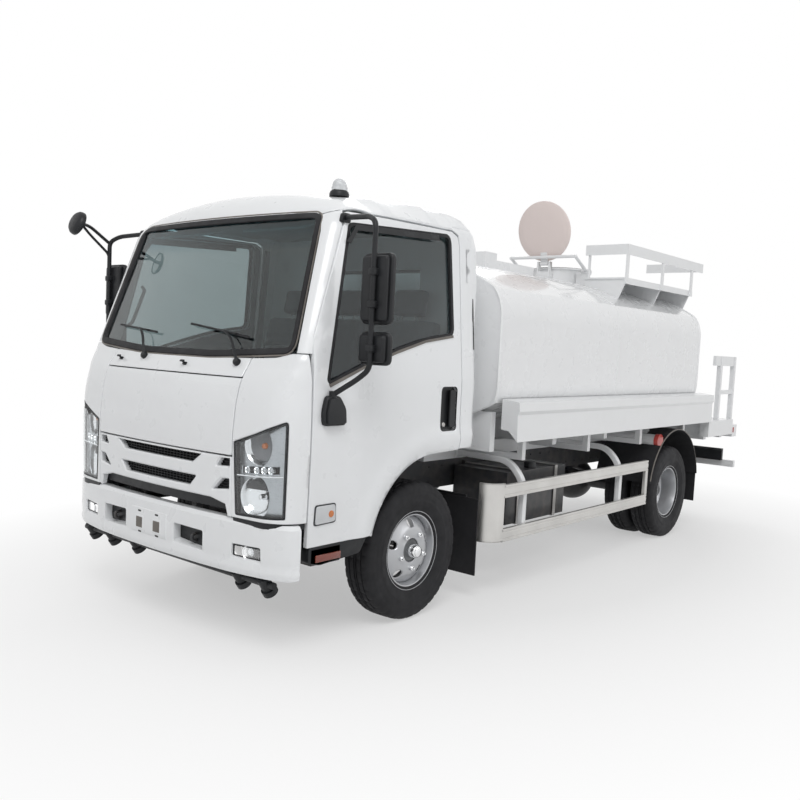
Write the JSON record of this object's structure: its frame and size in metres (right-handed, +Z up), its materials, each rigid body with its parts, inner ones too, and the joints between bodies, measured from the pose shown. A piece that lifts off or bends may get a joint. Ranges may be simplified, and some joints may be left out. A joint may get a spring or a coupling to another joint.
{
  "type": "tanker truck",
  "caption": "Light cab-over water tanker truck with tilting cab, opening doors, steered front wheels, twin rear wheels and a hinged manhole lid.",
  "frame": {"origin": "on the ground under the middle of the overall length and width", "axes": "+X points forward along the truck, +Y to its left, +Z up"},
  "size_m": [5.998, 2.36, 2.7591],
  "materials": {
    "cab_paint": "smooth white gloss paint",
    "body_paint": "white gloss paint on folded steel",
    "tank_paint": "white gloss paint on rolled steel",
    "chassis_paint": "satin black chassis paint",
    "cast_metal": "rough cast metal",
    "axle_paint": "black painted forging",
    "black_plastic": "grained black plastic",
    "guard_metal": "dull extruded aluminium",
    "steel": "bare steel",
    "rim_paint": "silver wheel paint",
    "tyre": "moulded tyre rubber",
    "rubber": "black rubber",
    "glass": "tinted laminated glass",
    "lamp_glass": "clear ribbed lamp cover",
    "lamp_red": "red and amber lamp lenses",
    "cabin_plastic": "grained grey plastic",
    "seat_fabric": "woven seat fabric",
    "lid_paint": "pale pinkish primer paint",
    "pump_paint": "blue machine enamel"
  },
  "bodies": {
    "chassis": {"frame_rails": "chassis_paint", "cross_members": "chassis_paint", "engine_block": "cast_metal", "propeller_shaft": "steel", "front_axle": "axle_paint", "rear_axle": "axle_paint", "leaf_springs": "axle_paint", "front_bumper": "cab_paint", "tank": "tank_paint", "manhole_neck": "body_paint", "tank_sills": "body_paint", "tank_bearers": "body_paint", "side_boxes": "body_paint", "top_deck": "body_paint", "rear_platform": "body_paint", "rear_railing": "body_paint", "tail_lamp_bar": "lamp_red", "underrun_bar": "body_paint", "side_guards": "guard_metal", "mudguards": "rubber", "fuel_tank": "chassis_paint", "battery_box": "black_plastic", "water_pump": "pump_paint", "spray_bar": "black_plastic", "exhaust": "steel"},
    "cab": {"cab_floor": "chassis_paint", "cab_front_panel": "cab_paint", "cab_back_panel": "cab_paint", "cab_roof": "cab_paint", "cab_side_frames": "cab_paint", "cab_glass": "glass", "headlamps": "lamp_glass", "roof_lamp": "lamp_glass", "seats": "seat_fabric", "dashboard": "cabin_plastic", "steering_wheel": "cabin_plastic"},
    "left_door_body": {"left_door": "cab_paint", "left_door_glass": "glass", "left_mirror": "black_plastic"},
    "right_door_body": {"right_door": "cab_paint", "right_door_glass": "glass", "right_mirror": "black_plastic"},
    "left_steer": {"left_knuckle": "axle_paint"},
    "right_steer": {"right_knuckle": "axle_paint"},
    "front_left_wheel": {"front_left_rim": "rim_paint", "front_left_tyre": "tyre"},
    "front_right_wheel": {"front_right_rim": "rim_paint", "front_right_tyre": "tyre"},
    "rear_left_wheel": {"rear_left_rims": "rim_paint", "rear_left_tyres": "tyre"},
    "rear_right_wheel": {"rear_right_rims": "rim_paint", "rear_right_tyres": "tyre"},
    "lid": {"manhole_lid": "lid_paint"}
  },
  "joints": [
    {"name": "cab_tilt", "type": "hinge", "parent": "chassis", "child": "cab", "pos_m": [2.911, 0, 0.745], "axis": [0, 1, 0], "range_deg": [0, 45]},
    {"name": "left_door_hinge", "type": "hinge", "parent": "cab", "child": "left_door_body", "pos_m": [2.761, 0.907, 1.3], "axis": [0, 0, -1], "range_deg": [0, 70]},
    {"name": "right_door_hinge", "type": "hinge", "parent": "cab", "child": "right_door_body", "pos_m": [2.761, -0.907, 1.3], "axis": [0, 0, 1], "range_deg": [0, 70]},
    {"name": "left_steering", "type": "hinge", "parent": "chassis", "child": "left_steer", "pos_m": [1.881, 0.65, 0.387], "axis": [0, 0, 1], "range_deg": [-36, 36]},
    {"name": "right_steering", "type": "hinge", "parent": "chassis", "child": "right_steer", "pos_m": [1.881, -0.65, 0.387], "axis": [0, 0, 1], "range_deg": [-36, 36]},
    {"name": "front_left_spin", "type": "hinge", "parent": "left_steer", "child": "front_left_wheel", "pos_m": [1.881, 0.752, 0.387], "axis": [0, 1, 0], "continuous": true},
    {"name": "front_right_spin", "type": "hinge", "parent": "right_steer", "child": "front_right_wheel", "pos_m": [1.881, -0.752, 0.387], "axis": [0, 1, 0], "continuous": true},
    {"name": "rear_left_spin", "type": "hinge", "parent": "chassis", "child": "rear_left_wheel", "pos_m": [-1.479, 0.7125, 0.387], "axis": [0, 1, 0], "continuous": true},
    {"name": "rear_right_spin", "type": "hinge", "parent": "chassis", "child": "rear_right_wheel", "pos_m": [-1.479, -0.7125, 0.387], "axis": [0, 1, 0], "continuous": true},
    {"name": "lid_hinge", "type": "hinge", "parent": "chassis", "child": "lid", "pos_m": [-0.757, 0, 2.258], "axis": [0, -1, 0], "range_deg": [0, 102]}
  ],
  "couplings": [
    {"joint": "right_steering", "follows": "left_steering", "ratio": 1}
  ]
}
